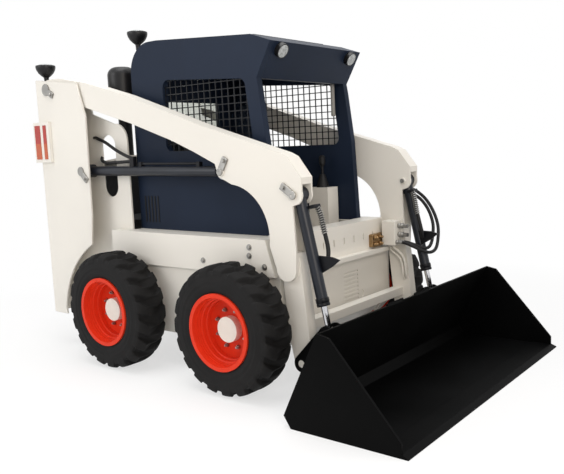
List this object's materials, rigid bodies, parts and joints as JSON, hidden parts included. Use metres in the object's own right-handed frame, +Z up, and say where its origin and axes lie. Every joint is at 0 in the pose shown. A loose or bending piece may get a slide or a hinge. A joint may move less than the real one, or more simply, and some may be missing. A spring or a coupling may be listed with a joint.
{
  "type": "skid steer loader",
  "caption": "Compact wheeled loader with radial lift arms beside an open meshed cab, hydraulic lift and tilt cylinders, lugged tyres and a wide bucket on the ground.",
  "frame": {"origin": "on the ground under the centre of the machine's overall box, with the arms down and the bucket flat", "axes": "+X forward towards the bucket's cutting edge, +Y to the machine's left, +Z up"},
  "size_m": [3.27, 2.024, 2.232],
  "materials": {
    "body_paint": "satin cream-white paint on steel plate",
    "cab_paint": "satin dark navy paint on sheet steel",
    "black_steel": "black satin paint on steel",
    "bucket_paint": "black satin paint on thick steel plate",
    "engine_iron": "grey painted casting",
    "black_plastic": "black moulded plastic",
    "black_rubber": "black moulded rubber",
    "red_lens": "clear red and amber lens plastic",
    "clear_lens": "clear lamp glass",
    "cab_glass": "lightly tinted safety glass",
    "seat_vinyl": "black vinyl over foam",
    "bare_steel": "zinc plated steel",
    "rod_chrome": "hard chrome on ground rod",
    "tyre_rubber": "black tyre rubber",
    "rim_paint": "gloss red paint on pressed steel",
    "hub_paint": "cream-white paint on cast hub"
  },
  "bodies": {
    "chassis": {"frame_tub": "body_paint", "chain_cases": "body_paint", "front_panel": "body_paint", "tower_right": "body_paint", "tower_left": "body_paint", "engine_block": "engine_iron", "engine_hood": "body_paint", "air_cleaner": "black_plastic", "tail_lenses": "red_lens", "work_lamps": "black_plastic", "lamp_lenses": "clear_lens", "cab_side_right": "cab_paint", "cab_side_left": "cab_paint", "cab_roof": "cab_paint", "cab_rear": "cab_paint", "side_screens": "black_steel", "rear_window": "cab_glass", "seat_pan": "black_steel", "seat_pads": "seat_vinyl", "consoles": "body_paint", "joysticks": "black_rubber", "pivot_pins": "bare_steel"},
    "lift_arms": {"arm_right": "body_paint", "arm_left": "body_paint", "arm_cross_tube": "body_paint", "aux_couplers": "bare_steel"},
    "bucket": {"bucket_shell": "bucket_paint", "bucket_edge": "bucket_paint", "bucket_coupler": "bucket_paint"},
    "rear_door": {"rear_door": "body_paint"},
    "seat_bar": {"seat_bar": "black_steel"},
    "lift_barrel_right": {"lift_barrel_right": "black_steel"},
    "lift_rod_right": {"lift_rod_right": "rod_chrome"},
    "tilt_barrel_right": {"tilt_barrel_right": "black_steel"},
    "tilt_rod_right": {"tilt_rod_right": "rod_chrome"},
    "lift_barrel_left": {"lift_barrel_left": "black_steel"},
    "lift_rod_left": {"lift_rod_left": "rod_chrome"},
    "tilt_barrel_left": {"tilt_barrel_left": "black_steel"},
    "tilt_rod_left": {"tilt_rod_left": "rod_chrome"},
    "wheel_front_right": {"tyre_front_right": "tyre_rubber", "rim_front_right": "rim_paint", "axle_front_right": "hub_paint"},
    "wheel_front_left": {"tyre_front_left": "tyre_rubber", "rim_front_left": "rim_paint", "axle_front_left": "hub_paint"},
    "wheel_rear_right": {"tyre_rear_right": "tyre_rubber", "rim_rear_right": "rim_paint", "axle_rear_right": "hub_paint"},
    "wheel_rear_left": {"tyre_rear_left": "tyre_rubber", "rim_rear_left": "rim_paint", "axle_rear_left": "hub_paint"}
  },
  "joints": [
    {"name": "arm_lift", "type": "hinge", "parent": "chassis", "child": "lift_arms", "pos_m": [-1.456, 0, 1.88], "axis": [0, -1, 0], "range_deg": [0, 56]},
    {"name": "bucket_tilt", "type": "hinge", "parent": "lift_arms", "child": "bucket", "pos_m": [0.745, 0, 0.198], "axis": [0, 1, 0], "range_deg": [-26, 96]},
    {"name": "lift_barrel_right_pivot", "type": "hinge", "parent": "chassis", "child": "lift_barrel_right", "pos_m": [-1.116, -0.595, 1.295], "axis": [0, -1, 0], "range_deg": [-1, 57.9]},
    {"name": "lift_rod_right_slide", "type": "slide", "parent": "lift_barrel_right", "child": "lift_rod_right", "axis": [0.9999, 0, -0.0105], "range_m": [-0.002, 0.6368]},
    {"name": "tilt_barrel_right_pivot", "type": "hinge", "parent": "lift_arms", "child": "tilt_barrel_right", "pos_m": [0.75, -0.595, 1.151], "axis": [0, 1, 0], "range_deg": [-2.19, 5.38]},
    {"name": "tilt_rod_right_slide", "type": "slide", "parent": "tilt_barrel_right", "child": "tilt_rod_right", "axis": [0.221, 0, -0.9753], "range_m": [-0.1059, 0.3855]},
    {"name": "lift_barrel_left_pivot", "type": "hinge", "parent": "chassis", "child": "lift_barrel_left", "pos_m": [-1.116, 0.595, 1.295], "axis": [0, -1, 0], "range_deg": [-1, 57.9]},
    {"name": "lift_rod_left_slide", "type": "slide", "parent": "lift_barrel_left", "child": "lift_rod_left", "axis": [0.9999, 0, -0.0105], "range_m": [-0.002, 0.6368]},
    {"name": "tilt_barrel_left_pivot", "type": "hinge", "parent": "lift_arms", "child": "tilt_barrel_left", "pos_m": [0.75, 0.595, 1.151], "axis": [0, 1, 0], "range_deg": [-2.19, 5.38]},
    {"name": "tilt_rod_left_slide", "type": "slide", "parent": "tilt_barrel_left", "child": "tilt_rod_left", "axis": [0.221, 0, -0.9753], "range_m": [-0.1059, 0.3855]},
    {"name": "wheel_front_right_spin", "type": "hinge", "parent": "chassis", "child": "wheel_front_right", "pos_m": [0.346, -0.9, 0.385], "axis": [0, 1, 0], "continuous": true},
    {"name": "wheel_front_left_spin", "type": "hinge", "parent": "chassis", "child": "wheel_front_left", "pos_m": [0.346, 0.9, 0.385], "axis": [0, 1, 0], "continuous": true},
    {"name": "wheel_rear_right_spin", "type": "hinge", "parent": "chassis", "child": "wheel_rear_right", "pos_m": [-0.7, -0.9, 0.385], "axis": [0, 1, 0], "continuous": true},
    {"name": "wheel_rear_left_spin", "type": "hinge", "parent": "chassis", "child": "wheel_rear_left", "pos_m": [-0.7, 0.9, 0.385], "axis": [0, 1, 0], "continuous": true},
    {"name": "rear_door_swing", "type": "hinge", "parent": "chassis", "child": "rear_door", "pos_m": [-1.592, 0.51, 0.48], "axis": [0, 0, -1], "range_deg": [0, 95]},
    {"name": "seat_bar_raise", "type": "hinge", "parent": "chassis", "child": "seat_bar", "pos_m": [-0.53, 0, 1.33], "axis": [0, -1, 0], "range_deg": [0, 75]}
  ],
  "couplings": [
    {"joint": "lift_barrel_right_pivot", "follows": "arm_lift", "ratio": 1.016},
    {"joint": "lift_rod_right_slide", "follows": "arm_lift", "m_per_rad": 0.6495},
    {"joint": "tilt_barrel_right_pivot", "follows": "bucket_tilt", "ratio": 0.045646},
    {"joint": "tilt_rod_right_slide", "follows": "bucket_tilt", "m_per_rad": 0.22888},
    {"joint": "lift_barrel_left_pivot", "follows": "arm_lift", "ratio": 1.016},
    {"joint": "lift_rod_left_slide", "follows": "arm_lift", "m_per_rad": 0.6495},
    {"joint": "tilt_barrel_left_pivot", "follows": "bucket_tilt", "ratio": 0.045646},
    {"joint": "tilt_rod_left_slide", "follows": "bucket_tilt", "m_per_rad": 0.22888}
  ]
}
